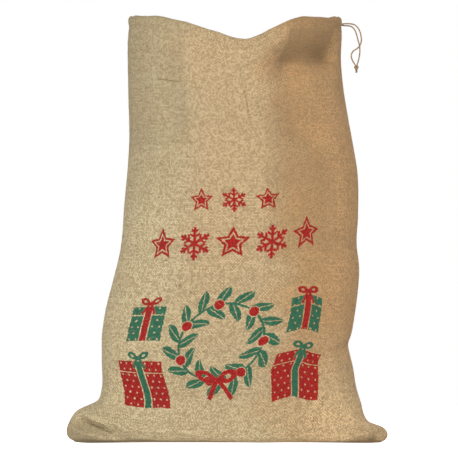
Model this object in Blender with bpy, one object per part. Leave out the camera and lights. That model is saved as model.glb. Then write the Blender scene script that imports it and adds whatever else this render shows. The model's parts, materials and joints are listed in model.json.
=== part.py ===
"""An open-topped burlap sack with a drawcord, standing on its own base.

The sack is cut flat, 500 mm wide and 700 mm deep, from two panels that are
sewn together down both sides and along the bottom.  Each panel's top edge is
turned in and stitched down, and the drawcord runs through the casing so made.
Lengths in the tables are millimetres: X runs left to right, Y from the front
to the back, and Z up from the floor.
"""

import math

import bmesh
import bpy
import numpy as np

MM = 0.001

PANEL_WIDTH = 500.0
CLOTH_THICKNESS = 1.5
SEAM_GAP = 0.3
FACING_GAP = 0.8
STITCH_BELOW_RIM = 16.6
HEM_TURN_IN = 3.4
CORD_DIAMETER = 2.2
CORD_EXIT_GAP = 7.0

COLUMNS = 32
COLUMN_CROWDING = 0.45
RING_SAMPLES = 181
ROW_BANDS = [
    # share up where the band starts, rows in it
    (0.0, 12), (0.185, 6), (0.222, 19),
]

# The four guide lines run from the bottom seam to the rim.
LEFT_SEAM = [
    # x, z
    (-220, 2), (-228, 8), (-231, 16), (-227.5, 30), (-215, 48), (-199.5, 55),
    (-185.5, 63), (-182, 76), (-182.5, 120), (-183, 160), (-177, 200),
    (-168, 235), (-157, 281), (-151, 350), (-145.5, 412), (-144, 440),
    (-145.5, 520), (-145.5, 600), (-143, 625),
]
RIGHT_SEAM = [
    # x, z
    (222, 1), (228, 4.5), (231, 10), (230.5, 17), (225, 23), (213.5, 27.5),
    (203, 32), (198, 41), (194, 56), (187, 82), (183.3, 110), (179, 131),
    (177, 143), (182, 158), (187, 184), (191, 212), (194, 259), (190.5, 290),
    (192.5, 330), (191, 404), (186.5, 431), (177, 484), (171, 523),
    (168, 560), (169, 608), (167, 625),
]
FRONT_LINE = [
    # y, z
    (0, 0), (-40, 4.6), (-80, 7.8), (-120, 8.8), (-144, 9.6), (-150.5, 12),
    (-153, 18), (-153, 27), (-151.5, 40), (-148, 58), (-143.5, 84),
    (-141, 118), (-142, 180), (-147, 280), (-151, 380), (-150, 480),
    (-147, 540), (-149, 569), (-140, 586),
]
BACK_LINE = [
    # y, z
    (0, 0), (40, 0.4), (92, 1), (117, 7), (131, 25), (138, 55),
    (143, 100), (148, 180), (151, 280), (152, 380), (150, 480),
    (147, 540), (147, 573), (143, 590),
]

# Where a weft line sinks from its side-seam height to its centre height, as
# shares of the way round the panel.
SINK = [
    # share up, left start, left end, right end, right start
    (0.00, 0.00, 0.16, 0.84, 1.00),
    (0.15, 0.00, 0.26, 0.76, 1.00),
    (0.30, 0.02, 0.36, 0.66, 0.98),
    (0.80, 0.16, 0.50, 0.55, 0.76),
    (1.00, 0.20, 0.527, 0.53, 0.72),
]

# Each panel hangs this much lower in its middle than its seams do.
FRONT_DROP = 7.3
BACK_DROP = 1.2
DROP_FADE = 0.1

# The base runs out to a point in each ear, so the low weft lines fan in there
# and cross the side seams lower than their share up the middle.
SEAM_SHARE = [
    # share up the middle, share up the side seam
    (0.0, 0.0), (0.1, 0.018), (0.2, 0.045), (0.24, 0.1), (0.3, 0.19),
    (0.38, 0.31), (0.48, 0.45), (0.6, 0.59), (0.7, 0.7), (1.0, 1.0),
]

# The front's rim waves up and down.
RIM_RISE_FROM = 0.78
RIM_RISE = [
    # share around, rise
    (0.0, 0), (0.1, 1.5), (0.15, -0.4), (0.2, -1.6), (0.25, -0.1), (0.3, 1.2),
    (0.35, 4.5), (0.4, 5.8), (0.45, 6.4), (0.5, 2.6), (0.53, 1.8),
    (0.56, 3.6), (0.6, 3.6), (0.65, -0.7), (0.7, -5.0), (0.75, -4.3),
    (0.8, -3.3), (0.85, -3.4), (0.9, 0), (0.95, -0.5), (1.0, 0),
]

# The front's lower edge lifts off the floor, most of all beside the left ear.
BASE_RISE_ROWS = (0.02, 0.12, 0.2, 0.34)
BASE_RISE = [
    # x, rise
    (-190, 0), (-150, 1.5), (-131, 3), (-108, 2.6), (-85, 2), (-50, 1.5),
    (-10, 1), (30, 0.6), (130, 0.6), (170, 0),
]

# The bottom corners are drawn forward as ears, so the plane between the two
# panels bends towards the front near them.
EAR_FORWARD = 94.0
EAR_ROOT = 100.0
EAR_TIP = 228.0
EAR_CREST = 45.0
EAR_FADE = 190.0
SEAM_HOLD = 0.03

FRONT_FOLDS = [
    # x0, z0, x1, z1, width, out
    (-55, 600, -50, 450, 20, 4),
    (-84, 540, -80, 460, 18, -7),
    (54, 545, 58, 340, 20, 5),
    (100, 455, 116, 438, 20, -9),
    (88, 520, 94, 470, 20, -5),
    (108, 618, 70, 572, 18, 11),
    (172, 596, 140, 562, 24, -24),
    (140, 562, 86, 546, 19, -24),
    (128, 616, 165, 614, 18, 5),
    (-212, 46, -148, 11, 8, 6),
    (-209, 31, -162, 15, 8, -11),
    (222, 19, 206, 8, 6, -7),
    (206, 8, 182, 7, 6, -6),
]
BACK_FOLDS = [
    # x0, z0, x1, z1, width, out
    (-70, 590, -48, 420, 26, 6),
    (80, 560, 62, 360, 30, 6),
    (-120, 120, -60, 60, 30, 4),
    (120, 300, 90, 120, 34, 5),
]

# The turned-in casing in section: height above the stitch line and depth
# inward from the sack's outer face.
CASING_OUTSIDE = [
    (0.0, 0.0), (5.0, -0.8), (11.0, -0.8), (15.0, 0.6), (16.6, 3.4),
    (15.2, 6.4), (11.0, 8.0), (5.0, 8.0), (0.0, 4.4),
]
CASING_INSIDE = [
    (1.8, 1.9), (5.0, 1.2), (11.0, 1.2), (13.6, 1.9), (14.6, 3.5),
    (13.5, 5.2), (11.0, 6.0), (5.0, 6.0), (1.8, 2.7),
]
TURNED_EDGE_DEPTH = 4.2
CORD_IN_CASING = (4.3, 3.0)

# The two free ends of the drawcord, from the casing to the knot.
FRONT_STRAND = [
    # x, y, z
    (165.4, -6.2, 613.4), (166.3, -4.2, 614.0), (168.5, -2.6, 615.0),
    (172, -2.1, 615.7), (176, -2.1, 615.9), (181, -2.0, 615.8),
    (188, -1.8, 614.2), (194.6, -1.8, 607), (197.4, -1.8, 598),
    (198, -2.2, 591.4), (195.8, -2.8, 583.6), (192.4, -2.8, 579.6),
    (185.7, -2.0, 575), (183, -1.4, 568.9), (185.1, -1.2, 561.1),
    (189.2, -1.3, 554.6),
]
BACK_STRAND = [
    # x, y, z
    (165.4, 6.2, 613.6), (166.3, 4.1, 613.9), (168.5, 2.0, 614.0),
    (172, 1.2, 613.5), (176, 1.0, 613.1), (179, 1.0, 613.0),
    (183.5, 1.0, 611.8), (188.4, 1.0, 606.8), (191.2, 1.0, 599.3),
    (193.5, 0.9, 590.4), (195.2, 0.6, 584.6), (195.8, 0.6, 578),
    (195.2, 0.8, 568.9), (193.5, 1.1, 561.1), (191.6, 1.3, 554.6),
]
STRAND_POINT_STEP = 4.5
KNOT_CENTRE = (190.6, 0.0)
KNOT_PROFILE = [
    # radius, z
    (1.2, 554.0), (2.4, 553.0), (2.9, 551.2), (2.8, 549.2), (2.0, 547.8),
    (1.4, 547.0), (1.8, 545.6), (2.2, 543.8), (1.9, 542.2), (1.0, 541.4),
]
KNOT_SIDES = 10

BURLAP_COLOUR = (0.48, 0.36, 0.21, 1.0)
TWINE_COLOUR = (0.38, 0.26, 0.14, 1.0)


def clear_scene():
    for leftover in list(bpy.data.objects):
        bpy.data.objects.remove(leftover)


def make_material(name, colour, roughness):
    material = bpy.data.materials.new(name)
    material.use_nodes = True
    shader = material.node_tree.nodes["Principled BSDF"]
    shader.inputs["Base Color"].default_value = colour
    shader.inputs["Roughness"].default_value = roughness
    shader.inputs["Metallic"].default_value = 0.0
    return material


def smoothstep(start, end, value):
    share = np.clip((value - start) / (end - start), 0.0, 1.0)
    return share * share * (3.0 - 2.0 * share)


def smooth_line(points, shares):
    """Points on a smooth curve through the given ones, at shares of its length."""
    points = np.array(points, dtype=float)
    chords = np.linalg.norm(np.diff(points, axis=0), axis=1)
    knots = np.concatenate(([0.0], np.cumsum(chords)))
    slopes = np.gradient(points, knots, axis=0)
    at = np.linspace(0.0, knots[-1], 24 * len(points))
    span = np.clip(np.searchsorted(knots, at, side="right") - 1, 0, len(chords) - 1)
    step = chords[span]
    s = ((at - knots[span]) / step)[:, None]
    step = step[:, None]
    dense = (
        (2 * s**3 - 3 * s**2 + 1) * points[span]
        + (s**3 - 2 * s**2 + s) * step * slopes[span]
        + (3 * s**2 - 2 * s**3) * points[span + 1]
        + (s**3 - s**2) * step * slopes[span + 1]
    )
    return resample(dense, shares)


def resample(points, shares):
    steps = np.linalg.norm(np.diff(points, axis=0), axis=1)
    along = np.concatenate(([0.0], np.cumsum(steps)))
    target = np.asarray(shares) * along[-1]
    return np.stack([np.interp(target, along, column) for column in points.T], axis=-1)


def line_length(points):
    dense = smooth_line(points, np.linspace(0.0, 1.0, 400))
    return float(np.linalg.norm(np.diff(dense, axis=0), axis=1).sum())


def sink_profile(share_up, around):
    """How far a weft line has sunk: 0 at seam height, 1 at centre height."""
    rows = np.array(SINK)
    left, left_end, right_end, right = (
        np.interp(share_up, rows[:, 0], rows[:, column]) for column in (1, 2, 3, 4)
    )
    return smoothstep(left, left_end, around) * smoothstep(right, right_end, around)


def front_rise(share_up, around, x):
    """How far the front stands above its drop, at its rim and low down."""
    rim = np.interp(around, *np.array(RIM_RISE).T) * smoothstep(RIM_RISE_FROM, 1.0, share_up)
    start, hold, fade, end = BASE_RISE_ROWS
    low = smoothstep(start, hold, share_up) * (1.0 - smoothstep(fade, end, share_up))
    return rim + np.interp(x, *np.array(BASE_RISE).T) * low


def fold_relief(folds, x, z):
    """Outward push of the folds at each point, seen square on."""
    relief = np.zeros_like(x)
    for x0, z0, x1, z1, width, out in folds:
        run_x, run_z = x1 - x0, z1 - z0
        along = ((x - x0) * run_x + (z - z0) * run_z) / (run_x**2 + run_z**2)
        along = np.clip(along, 0.0, 1.0)
        gap = np.hypot(x - x0 - along * run_x, z - z0 - along * run_z)
        relief += out * np.exp(-((gap / width) ** 2))
    return relief


def seam_depth(x, z):
    """Depth of the plane between the panels, where both side seams lie."""
    out_to_ear = smoothstep(EAR_ROOT, EAR_TIP, np.abs(x))
    low_down = 1.0 - smoothstep(EAR_CREST, EAR_FADE, z)
    return -EAR_FORWARD * out_to_ear * low_down


class Panel:
    """The outer face of one panel, addressed by shares across and up."""

    def __init__(self, facing):
        self.facing = facing
        self.centre_line = FRONT_LINE if facing < 0 else BACK_LINE
        self.folds = FRONT_FOLDS if facing < 0 else BACK_FOLDS
        self.height = line_length(self.centre_line)
        self.drop = FRONT_DROP if facing < 0 else BACK_DROP

    def weft(self, share_up, across):
        """The points of one weft line."""
        share_up = min(share_up, 1.0)
        up_seam = np.interp(share_up, *np.array(SEAM_SHARE).T)
        left_x, left_z = smooth_line(LEFT_SEAM, [up_seam])[0]
        right_x, right_z = smooth_line(RIGHT_SEAM, [up_seam])[0]
        centre_y, centre_z = smooth_line(self.centre_line, [share_up])[0]
        around = np.linspace(0.0, 1.0, RING_SAMPLES)
        angle = math.pi * around
        bulge = np.sin(angle)
        x = 0.5 * (left_x + right_x) - 0.5 * (right_x - left_x) * np.cos(angle)
        seam_z = left_z + (right_z - left_z) * around
        z = seam_z + (centre_z - seam_z) * sink_profile(share_up, around)
        z = z - self.drop * bulge * smoothstep(0.0, DROP_FADE, share_up)
        if self.facing < 0:
            z = z + front_rise(share_up, around, x)
        z = np.maximum(z, 0.0)
        held = np.sqrt(bulge) * smoothstep(0.0, SEAM_HOLD, share_up)
        relief = fold_relief(self.folds, x, z) * held
        y = seam_depth(x, z) + centre_y * bulge + self.facing * relief
        ring = resample(np.stack([x, y, z], axis=-1), across)
        ring[:, 1] += self.facing * SEAM_GAP / 2
        return ring

    def inward(self, share_up, across, ring):
        """Unit vectors from the outer face into the sack, along one weft line."""
        low = self.weft(max(share_up - 0.004, 0.0), across)
        high = self.weft(min(share_up + 0.004, 1.0), across)
        rise = high - low
        run = np.gradient(ring, axis=0)
        normal = np.cross(run, rise) * self.facing
        for column in np.flatnonzero(self.on_seam(share_up, across)):
            edge = run[column] if share_up == 0.0 else rise[column]
            toward = (0.0, 1.0) if share_up == 0.0 else (0.5 - across[column], 0.0)
            normal[column] = self.square_to(edge, toward)
        if share_up == 0.0:
            normal[0] = (1.0, 0.0, 1.0)
            normal[-1] = (-1.0, 0.0, 1.0)
        return normal / np.linalg.norm(normal, axis=1)[:, None]

    @staticmethod
    def on_seam(share_up, across):
        return (share_up == 0.0) | (across == 0.0) | (across == 1.0)

    @staticmethod
    def square_to(edge, toward):
        """The direction square to a seam, seen from the front, on the given side."""
        normal = np.array([-edge[2], 0.0, edge[0]])
        side = normal[0] * toward[0] + normal[2] * toward[1]
        return math.copysign(1.0, side) * normal

    def row(self, share_up, across, depth):
        """A weft line moved inward by depth, kept on its own side of the seam."""
        ring = self.weft(share_up, across)
        if depth == 0.0:
            return ring
        points = ring + depth * self.inward(share_up, across, ring)
        middle = seam_depth(points[:, 0], points[:, 2])
        reach = np.maximum(self.facing * (points[:, 1] - middle), FACING_GAP / 2)
        reach[self.on_seam(share_up, across)] = SEAM_GAP / 2
        points[:, 1] = middle + self.facing * reach
        points[:, 2] = np.maximum(points[:, 2], 0.0)
        return points

    def above_stitches(self, height, depth, across):
        """A line along the casing, at a height above its stitches."""
        share_up = 1.0 + (height - STITCH_BELOW_RIM) / self.height
        return self.row(share_up, across, depth)


def column_shares():
    even = np.linspace(0.0, 1.0, COLUMNS + 1)
    return even - COLUMN_CROWDING * np.sin(2 * math.pi * even) / (2 * math.pi)


def casing_shares():
    """Column shares along the casing, which stops short of the right seam."""
    shares = column_shares()
    shares[-1] = 1.0 - CORD_EXIT_GAP / PANEL_WIDTH
    return shares


def wall_rows(panel):
    """Shares up from the bottom seam to the turned-in edge of the hem."""
    turned_edge = 1.0 - (STITCH_BELOW_RIM + HEM_TURN_IN) / panel.height
    rows = []
    for band, (start, count) in enumerate(ROW_BANDS):
        last = band == len(ROW_BANDS) - 1
        end = turned_edge if last else ROW_BANDS[band + 1][0]
        rows += list(np.linspace(start, end, count, endpoint=last))
    return rows


def add_panel(name, facing, material):
    """A panel as one sheet whose turned-in top leaves a tunnel for the cord."""
    panel = Panel(facing)
    across = column_shares()
    casing = casing_shares()
    rows = wall_rows(panel)
    outer = [panel.row(share, across, 0.0) for share in rows]
    inner = [panel.row(share, across, CLOTH_THICKNESS) for share in rows]
    outside = [panel.above_stitches(height, depth, casing if height > 0 else across)
               for height, depth in CASING_OUTSIDE]
    turned_edge = panel.row(rows[-1], across, TURNED_EDGE_DEPTH)
    outline = outer + outside + [turned_edge] + inner[::-1]
    tunnel = [panel.above_stitches(height, depth, casing) for height, depth in CASING_INSIDE]

    mesh = bpy.data.meshes.new(name)
    bm = bmesh.new()
    outline_rings = [[bm.verts.new(point * MM) for point in line] for line in outline]
    tunnel_rings = [[bm.verts.new(point * MM) for point in line] for line in tunnel]
    first_inner = len(outline) - len(inner)
    for index, ring in enumerate(outline_rings):
        above = outline_rings[(index + 1) % len(outline_rings)]
        if index < first_inner:
            add_band(bm, ring, above)
        else:
            add_band(bm, above, ring)
    for index, ring in enumerate(tunnel_rings):
        add_band(bm, ring, tunnel_rings[(index + 1) % len(tunnel_rings)])
    for column in (0, COLUMNS):
        add_seam_edge(bm, outline_rings, tunnel_rings, len(rows), column)
    bmesh.ops.recalc_face_normals(bm, faces=bm.faces)
    bm.to_mesh(mesh)
    bm.free()
    mesh.shade_smooth()
    mesh.set_sharp_from_angle(angle=math.radians(40))
    mesh.materials.append(material)
    sheet = bpy.data.objects.new(name, mesh)
    bpy.context.collection.objects.link(sheet)
    return panel


def add_band(bm, lower, upper):
    """Triangles between two lines, split alike on both faces of the cloth."""
    for column in range(COLUMNS):
        low, low_next = lower[column], lower[column + 1]
        high, high_next = upper[column], upper[column + 1]
        if column < COLUMNS // 2:
            bm.faces.new((low, low_next, high_next))
            bm.faces.new((low, high_next, high))
        else:
            bm.faces.new((low, low_next, high))
            bm.faces.new((low_next, high_next, high))


def add_seam_edge(bm, outline_rings, tunnel_rings, row_count, column):
    """Close one side edge of a panel, leaving the mouth of its tunnel open."""
    outline = [ring[column] for ring in outline_rings]
    tunnel = [ring[column] for ring in tunnel_rings]
    outer = outline[:row_count]
    inner = outline[-row_count:][::-1]
    casing = outline[row_count:-row_count - 1]
    turned_edge = outline[-row_count - 1]
    for row in range(row_count - 1):
        bm.faces.new((outer[row], outer[row + 1], inner[row + 1], inner[row]))
    bm.faces.new((outer[-1], casing[0], casing[-1], turned_edge, inner[-1]))
    for index in range(len(casing)):
        after = (index + 1) % len(casing)
        bm.faces.new((casing[index], casing[after], tunnel[after], tunnel[index]))


def add_cord(name, points, material):
    curve = bpy.data.curves.new(name, "CURVE")
    curve.dimensions = "3D"
    curve.bevel_depth = CORD_DIAMETER / 2 * MM
    curve.bevel_resolution = 2
    curve.use_fill_caps = True
    spline = curve.splines.new("POLY")
    spline.points.add(len(points) - 1)
    for spline_point, place in zip(spline.points, points):
        spline_point.co = (*(np.asarray(place) * MM), 1.0)
    curve.materials.append(material)
    cord = bpy.data.objects.new(name, curve)
    bpy.context.collection.objects.link(cord)


def add_casing_cord(front, back, material):
    """The hidden run of the drawcord, through both casings and round the mouth."""
    height, depth = CORD_IN_CASING
    casing = np.delete(casing_shares(), -2)
    front_run = front.above_stitches(height, depth, casing)
    back_run = back.above_stitches(height, depth, casing)
    left = 0.5 * (front_run[0] + back_run[0])
    route = list(front_run[::-1][:-1]) + [left] + list(back_run[1:])
    add_cord("drawcord_casing", route, material)


def add_strand(name, route, material):
    count = max(2, round(line_length(route) / STRAND_POINT_STEP))
    add_cord(name, smooth_line(route, np.linspace(0.0, 1.0, count + 1)), material)


def add_knot(name, material):
    mesh = bpy.data.meshes.new(name)
    bm = bmesh.new()
    rings = []
    for radius, z in KNOT_PROFILE:
        ring = []
        for side in range(KNOT_SIDES):
            turn = 2 * math.pi * side / KNOT_SIDES
            x = KNOT_CENTRE[0] + radius * math.cos(turn)
            y = KNOT_CENTRE[1] + radius * math.sin(turn)
            ring.append(bm.verts.new((x * MM, y * MM, z * MM)))
        rings.append(ring)
    for upper, lower in zip(rings, rings[1:]):
        for side in range(KNOT_SIDES):
            after = (side + 1) % KNOT_SIDES
            bm.faces.new((upper[side], upper[after], lower[after], lower[side]))
    bm.faces.new(rings[0])
    bm.faces.new(rings[-1])
    bmesh.ops.recalc_face_normals(bm, faces=bm.faces)
    bm.to_mesh(mesh)
    bm.free()
    mesh.shade_smooth()
    mesh.materials.append(material)
    knot = bpy.data.objects.new(name, mesh)
    bpy.context.collection.objects.link(knot)


def build_sack():
    clear_scene()
    burlap = make_material("burlap", BURLAP_COLOUR, 0.95)
    twine = make_material("jute twine", TWINE_COLOUR, 0.9)
    front = add_panel("front_panel", -1.0, burlap)
    back = add_panel("back_panel", 1.0, burlap)
    add_casing_cord(front, back, twine)
    add_strand("drawcord_front_end", FRONT_STRAND, twine)
    add_strand("drawcord_back_end", BACK_STRAND, twine)
    add_knot("drawcord_knot", twine)


build_sack()
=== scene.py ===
import json
import math

import bpy
import numpy as np
from mathutils import Vector, noise
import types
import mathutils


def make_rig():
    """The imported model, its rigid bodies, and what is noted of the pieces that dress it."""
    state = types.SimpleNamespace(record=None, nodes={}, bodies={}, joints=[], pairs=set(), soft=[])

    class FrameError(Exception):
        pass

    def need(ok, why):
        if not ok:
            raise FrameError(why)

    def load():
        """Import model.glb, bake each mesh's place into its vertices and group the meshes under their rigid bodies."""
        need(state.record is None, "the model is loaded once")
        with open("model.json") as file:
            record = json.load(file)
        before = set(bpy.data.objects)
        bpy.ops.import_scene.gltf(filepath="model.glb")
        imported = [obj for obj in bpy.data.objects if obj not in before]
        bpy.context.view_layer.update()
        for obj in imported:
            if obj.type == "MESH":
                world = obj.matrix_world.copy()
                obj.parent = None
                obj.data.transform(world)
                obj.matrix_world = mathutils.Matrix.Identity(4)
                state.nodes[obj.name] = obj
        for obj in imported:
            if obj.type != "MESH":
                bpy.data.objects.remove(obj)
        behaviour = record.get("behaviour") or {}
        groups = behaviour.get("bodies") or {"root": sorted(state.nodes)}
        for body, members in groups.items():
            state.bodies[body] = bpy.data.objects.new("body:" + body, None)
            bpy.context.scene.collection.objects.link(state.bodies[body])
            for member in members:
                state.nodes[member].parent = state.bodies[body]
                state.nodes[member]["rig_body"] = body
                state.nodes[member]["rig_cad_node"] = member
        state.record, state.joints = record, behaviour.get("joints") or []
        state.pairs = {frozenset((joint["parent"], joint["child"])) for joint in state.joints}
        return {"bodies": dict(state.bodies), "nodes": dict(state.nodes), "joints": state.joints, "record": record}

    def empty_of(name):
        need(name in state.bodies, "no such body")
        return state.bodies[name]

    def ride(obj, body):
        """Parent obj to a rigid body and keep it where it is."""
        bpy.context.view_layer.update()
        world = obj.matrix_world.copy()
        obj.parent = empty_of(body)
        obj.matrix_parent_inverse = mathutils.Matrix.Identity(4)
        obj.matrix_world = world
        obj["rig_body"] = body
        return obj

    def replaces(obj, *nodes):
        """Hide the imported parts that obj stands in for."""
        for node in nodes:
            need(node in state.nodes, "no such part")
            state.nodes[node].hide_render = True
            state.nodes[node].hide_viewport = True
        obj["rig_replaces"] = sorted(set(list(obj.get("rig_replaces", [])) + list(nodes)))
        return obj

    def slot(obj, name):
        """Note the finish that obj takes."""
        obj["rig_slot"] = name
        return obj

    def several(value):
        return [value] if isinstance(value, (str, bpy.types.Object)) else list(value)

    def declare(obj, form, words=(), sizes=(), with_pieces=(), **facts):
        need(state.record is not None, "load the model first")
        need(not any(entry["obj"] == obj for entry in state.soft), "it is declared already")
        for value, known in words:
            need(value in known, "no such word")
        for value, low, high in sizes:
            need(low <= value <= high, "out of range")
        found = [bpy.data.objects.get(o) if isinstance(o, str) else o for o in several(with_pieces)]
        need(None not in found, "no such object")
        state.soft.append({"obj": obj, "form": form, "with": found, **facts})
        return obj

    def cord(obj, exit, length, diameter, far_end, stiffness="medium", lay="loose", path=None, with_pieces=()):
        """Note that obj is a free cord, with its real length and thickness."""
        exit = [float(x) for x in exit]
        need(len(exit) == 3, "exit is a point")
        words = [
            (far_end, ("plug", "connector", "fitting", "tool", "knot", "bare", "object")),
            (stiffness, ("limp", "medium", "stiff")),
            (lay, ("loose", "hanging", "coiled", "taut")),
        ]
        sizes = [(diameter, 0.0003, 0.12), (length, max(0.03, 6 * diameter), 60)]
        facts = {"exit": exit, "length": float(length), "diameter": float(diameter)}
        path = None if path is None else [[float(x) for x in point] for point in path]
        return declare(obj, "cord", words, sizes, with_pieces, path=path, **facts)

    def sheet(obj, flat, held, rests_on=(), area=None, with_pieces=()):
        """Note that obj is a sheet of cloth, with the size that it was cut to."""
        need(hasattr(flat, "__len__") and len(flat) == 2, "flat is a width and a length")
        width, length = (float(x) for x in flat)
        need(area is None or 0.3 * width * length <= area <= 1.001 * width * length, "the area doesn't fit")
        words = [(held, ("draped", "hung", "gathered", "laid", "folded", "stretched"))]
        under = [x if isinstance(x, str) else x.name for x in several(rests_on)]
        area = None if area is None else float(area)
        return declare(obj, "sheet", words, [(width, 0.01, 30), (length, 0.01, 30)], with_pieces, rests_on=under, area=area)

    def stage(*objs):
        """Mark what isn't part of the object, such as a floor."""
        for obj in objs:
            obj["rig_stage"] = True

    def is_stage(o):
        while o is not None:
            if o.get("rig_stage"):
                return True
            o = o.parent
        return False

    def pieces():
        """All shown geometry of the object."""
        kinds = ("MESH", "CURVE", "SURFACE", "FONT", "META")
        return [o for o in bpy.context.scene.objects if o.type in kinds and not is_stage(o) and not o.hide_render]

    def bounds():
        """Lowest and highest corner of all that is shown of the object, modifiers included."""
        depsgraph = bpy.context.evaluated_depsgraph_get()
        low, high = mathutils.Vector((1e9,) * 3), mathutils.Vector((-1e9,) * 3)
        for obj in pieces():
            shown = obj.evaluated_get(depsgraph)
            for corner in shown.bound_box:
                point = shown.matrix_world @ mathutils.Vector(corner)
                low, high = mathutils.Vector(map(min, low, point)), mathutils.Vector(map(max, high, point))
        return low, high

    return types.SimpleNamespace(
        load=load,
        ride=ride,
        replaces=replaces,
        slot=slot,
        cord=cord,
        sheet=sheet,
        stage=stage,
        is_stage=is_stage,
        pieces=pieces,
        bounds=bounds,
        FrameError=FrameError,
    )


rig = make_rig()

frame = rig.load()
cadLow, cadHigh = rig.bounds()
mm = 0.001
print("stage: frame loaded")


# camera, light and floor

studio = {
    "cameraPlace": (0.0029, -5.0, 0.06),
    "cameraAim": (0.0029, 0.0, 0.3130),
    "lens": 267.7,
    "sensor": 36.0,
    "floorSize": 60.0,
    "floorColour": (0.86, 0.86, 0.86, 1), "floorRoughness": 0.9,
    "floorGlow": 0.70,                         # added where the camera sees the floor
    "floorBounce": 0.42,                       # glow that lights the sack from below
    "skyLight": 0.32,
    "lamps": {                                 # place, height aimed at, size, power, colour
        "keyLight": ((-0.55, -3.9, 3.0), 0.3, 1.3, 190, (1.0, 0.985, 0.95)),
        "fillLight": ((-2.9, -2.2, 1.5), 0.3, 1.8, 10, (0.97, 1.0, 0.97)),
        "warmLight": ((2.9, -1.9, 1.0), 0.25, 1.6, 9, (1.0, 0.95, 0.87)),
        "lowLight": ((0.0, -2.2, 0.14), 0.0, 1.4, 4, (1.0, 0.98, 0.95)),
        "backLight": ((0.8, 3.2, 2.4), 0.3, 2.0, 70, (1.0, 0.985, 0.95)),
    },
}


def placed(name, data, place, aim):
    # a lamp or camera that looks from its place at its aim
    holder = bpy.data.objects.new(name, data)
    bpy.context.collection.objects.link(holder)
    holder.location = place
    holder.rotation_euler = (Vector(aim) - Vector(place)).to_track_quat("-Z", "Y").to_euler()
    return holder


def setWorld():
    # plain white for the camera, and a dimmer light on the sack
    world = bpy.data.worlds.new("studio")
    bpy.context.scene.world = world
    world.use_nodes = True
    tree = world.node_tree
    tree.nodes.clear()
    mix = tree.nodes.new("ShaderNodeMixShader")
    path = tree.nodes.new("ShaderNodeLightPath")
    tree.links.new(path.outputs["Is Camera Ray"], mix.inputs[0])
    for slot, strength in ((1, studio["skyLight"]), (2, 1.0)):
        sky = tree.nodes.new("ShaderNodeBackground")
        sky.inputs["Color"].default_value = (1, 1, 1, 1)
        sky.inputs["Strength"].default_value = strength
        tree.links.new(sky.outputs[0], mix.inputs[slot])
    tree.links.new(mix.outputs[0], tree.nodes.new("ShaderNodeOutputWorld").inputs[0])


def addFloor():
    bpy.ops.mesh.primitive_plane_add(size=studio["floorSize"], location=(0, 0, 0))
    floor = bpy.context.object
    floor.name = "floor"
    paint = bpy.data.materials.new("paleFloor")
    paint.use_nodes = True
    tree = paint.node_tree
    shader = tree.nodes["Principled BSDF"]
    shader.inputs["Base Color"].default_value = studio["floorColour"]
    shader.inputs["Roughness"].default_value = studio["floorRoughness"]
    shader.inputs["Emission Color"].default_value = (1, 1, 1, 1)
    path = tree.nodes.new("ShaderNodeLightPath")
    glow = tree.nodes.new("ShaderNodeMath")
    glow.operation = "MULTIPLY_ADD"
    glow.inputs[1].default_value = studio["floorGlow"]
    glow.inputs[2].default_value = studio["floorBounce"]
    tree.links.new(path.outputs["Is Camera Ray"], glow.inputs[0])
    tree.links.new(glow.outputs[0], shader.inputs["Emission Strength"])
    floor.data.materials.append(paint)
    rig.stage(floor)


def setStudio():
    camera = bpy.data.cameras.new("camera")
    camera.sensor_width, camera.lens = studio["sensor"], studio["lens"]
    bpy.context.scene.camera = placed("camera", camera, studio["cameraPlace"],
                                      studio["cameraAim"])
    bpy.context.scene.view_settings.view_transform = "Standard"
    for name, (place, height, size, power, colour) in studio["lamps"].items():
        lamp = bpy.data.lights.new(name, "AREA")
        lamp.shape, lamp.size, lamp.energy, lamp.color = "DISK", size, power, colour
        placed(name, lamp, place, (0.0, 0.0, height))
    setWorld()
    addFloor()


setStudio()
print("stage: studio")


# small helpers for meshes and lines; lengths are in millimetres until the mesh is made

def smoothstep(start, end, value):
    share = np.clip((value - start) / (end - start), 0.0, 1.0)
    return share * share * (3.0 - 2.0 * share)


def resample(points, shares):
    steps = np.linalg.norm(np.diff(points, axis=0), axis=1)
    along = np.concatenate(([0.0], np.cumsum(steps)))
    target = np.asarray(shares) * along[-1]
    return np.stack([np.interp(target, along, column) for column in points.T], axis=-1)


def smoothLine(points, shares):
    points = np.array(points, dtype=float)
    chords = np.linalg.norm(np.diff(points, axis=0), axis=1)
    knots = np.concatenate(([0.0], np.cumsum(chords)))
    slopes = np.gradient(points, knots, axis=0)
    at = np.linspace(0.0, knots[-1], 24 * len(points))
    span = np.clip(np.searchsorted(knots, at, side="right") - 1, 0, len(chords) - 1)
    s = ((at - knots[span]) / chords[span])[:, None]
    step = chords[span][:, None]
    dense = ((2 * s**3 - 3 * s**2 + 1) * points[span]
             + (s**3 - 2 * s**2 + s) * step * slopes[span]
             + (3 * s**2 - 2 * s**3) * points[span + 1]
             + (s**3 - s**2) * step * slopes[span + 1])
    return resample(dense, shares)


def lineLength(points):
    return float(np.linalg.norm(np.diff(points, axis=0), axis=1).sum())


def unit(vectors):
    return vectors / np.maximum(np.linalg.norm(vectors, axis=-1, keepdims=True), 1e-9)


def perlin(points, scale, seed):
    offset = Vector((seed * 17.3, seed * -9.1, seed * 5.7))
    return np.array([noise.noise(Vector(p) * scale + offset) for p in points.reshape(-1, 3)]
                    ).reshape(points.shape[:-1])


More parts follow.
